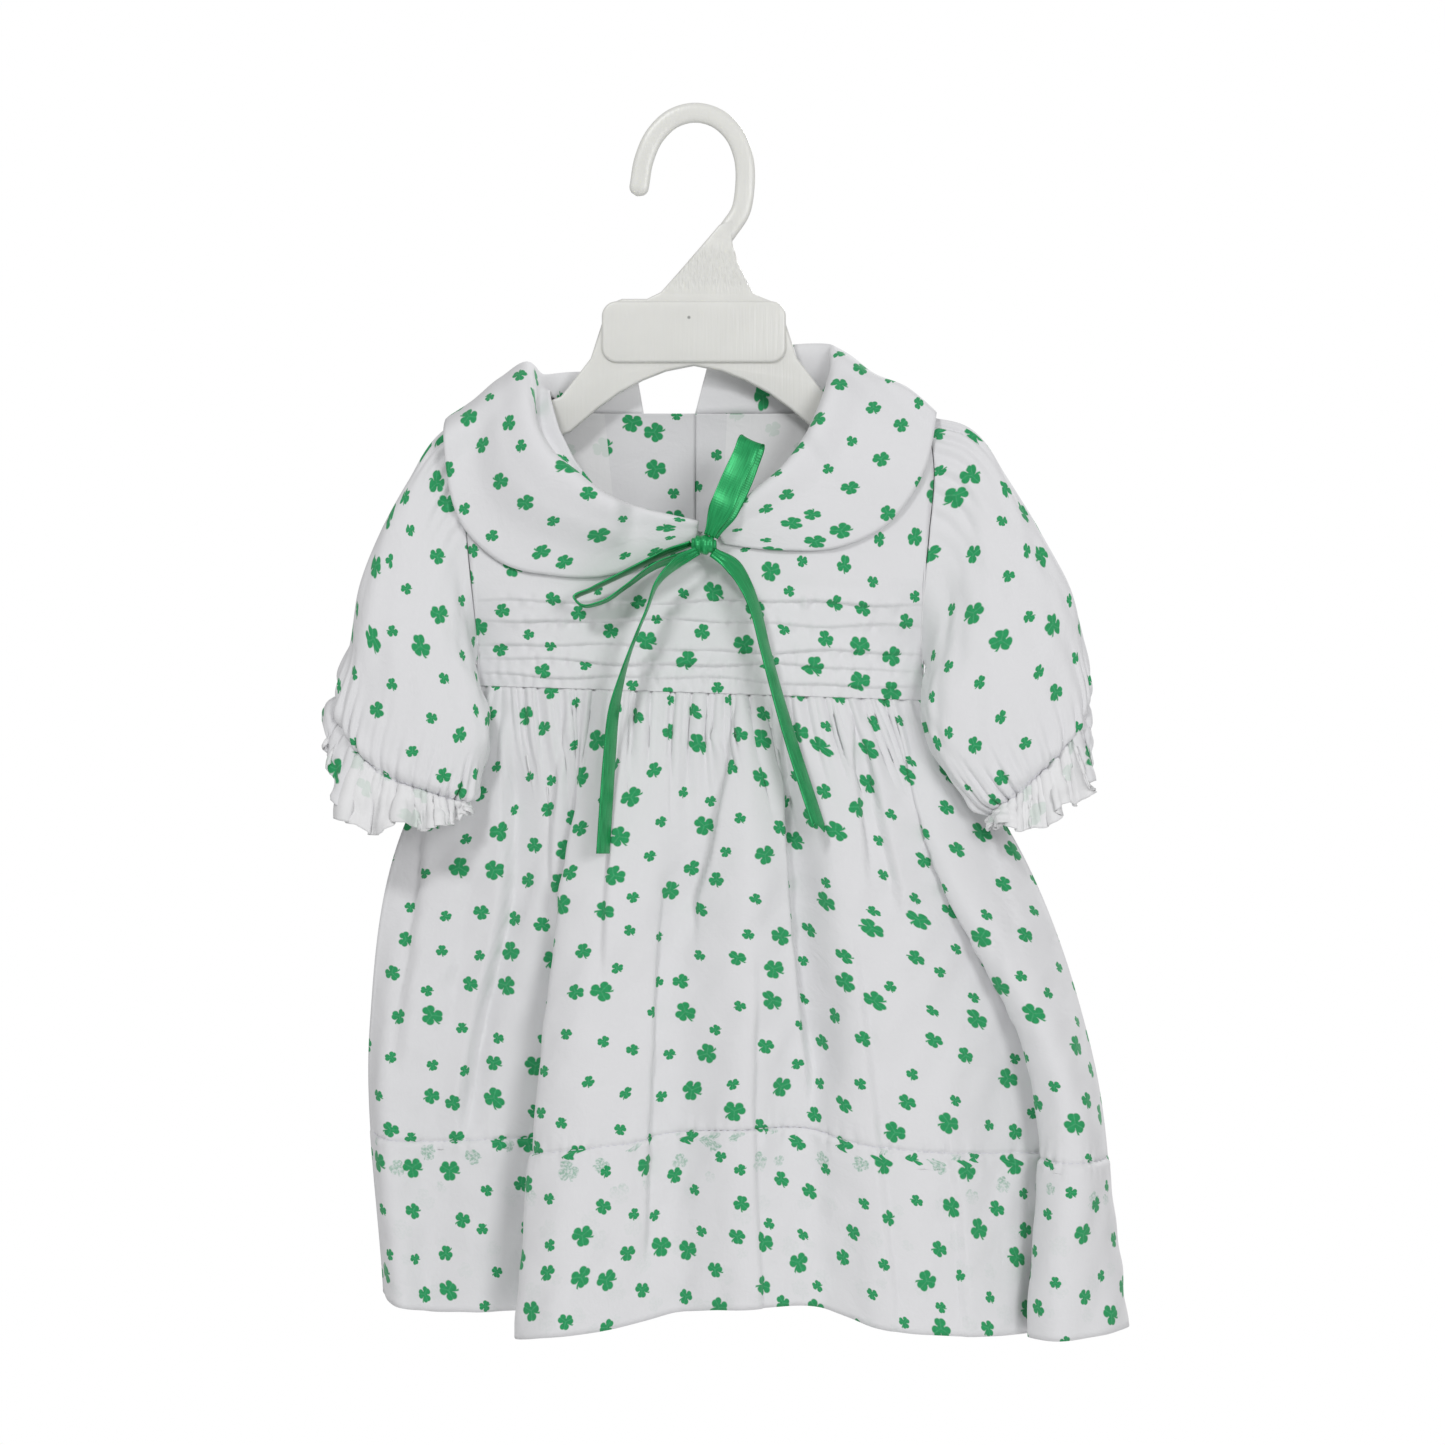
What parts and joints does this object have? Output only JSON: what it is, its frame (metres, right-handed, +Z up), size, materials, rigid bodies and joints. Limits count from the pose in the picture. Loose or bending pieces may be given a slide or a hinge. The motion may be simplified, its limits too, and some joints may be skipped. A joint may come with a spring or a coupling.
{
  "type": "baby dress on a hanger",
  "caption": "Short-sleeved printed baby dress with a round collar, tucked bodice, gathered skirt and ribbon bow, hung on its moulded plastic hanger.",
  "frame": {"origin": "top of the hook's inner curve, where it rests on a rail", "axes": "+Z up, -Y out of the front of the dress, +X to the viewer's right when facing the front"},
  "size_m": [0.3417, 0.0822, 0.5264],
  "materials": {
    "printed_cotton": "white cotton with a small green leaf print",
    "green_satin": "satin ribbon",
    "button_plastic": "glossy white",
    "hanger_plastic": "semi-matt white moulding"
  },
  "bodies": {
    "root": {"bodice_front": "printed_cotton", "bodice_back_left": "printed_cotton", "bodice_back_right": "printed_cotton", "collar_left": "printed_cotton", "collar_right": "printed_cotton", "sleeve_left": "printed_cotton", "sleeve_right": "printed_cotton", "skirt_front": "printed_cotton", "skirt_back": "printed_cotton", "ribbon_knot": "green_satin", "ribbon_loop_up": "green_satin", "ribbon_loop_side": "green_satin", "ribbon_tail_left": "green_satin", "ribbon_tail_right": "green_satin", "button_1": "button_plastic", "button_2": "button_plastic", "button_3": "button_plastic", "hanger": "hanger_plastic"}
  },
  "joints": []
}
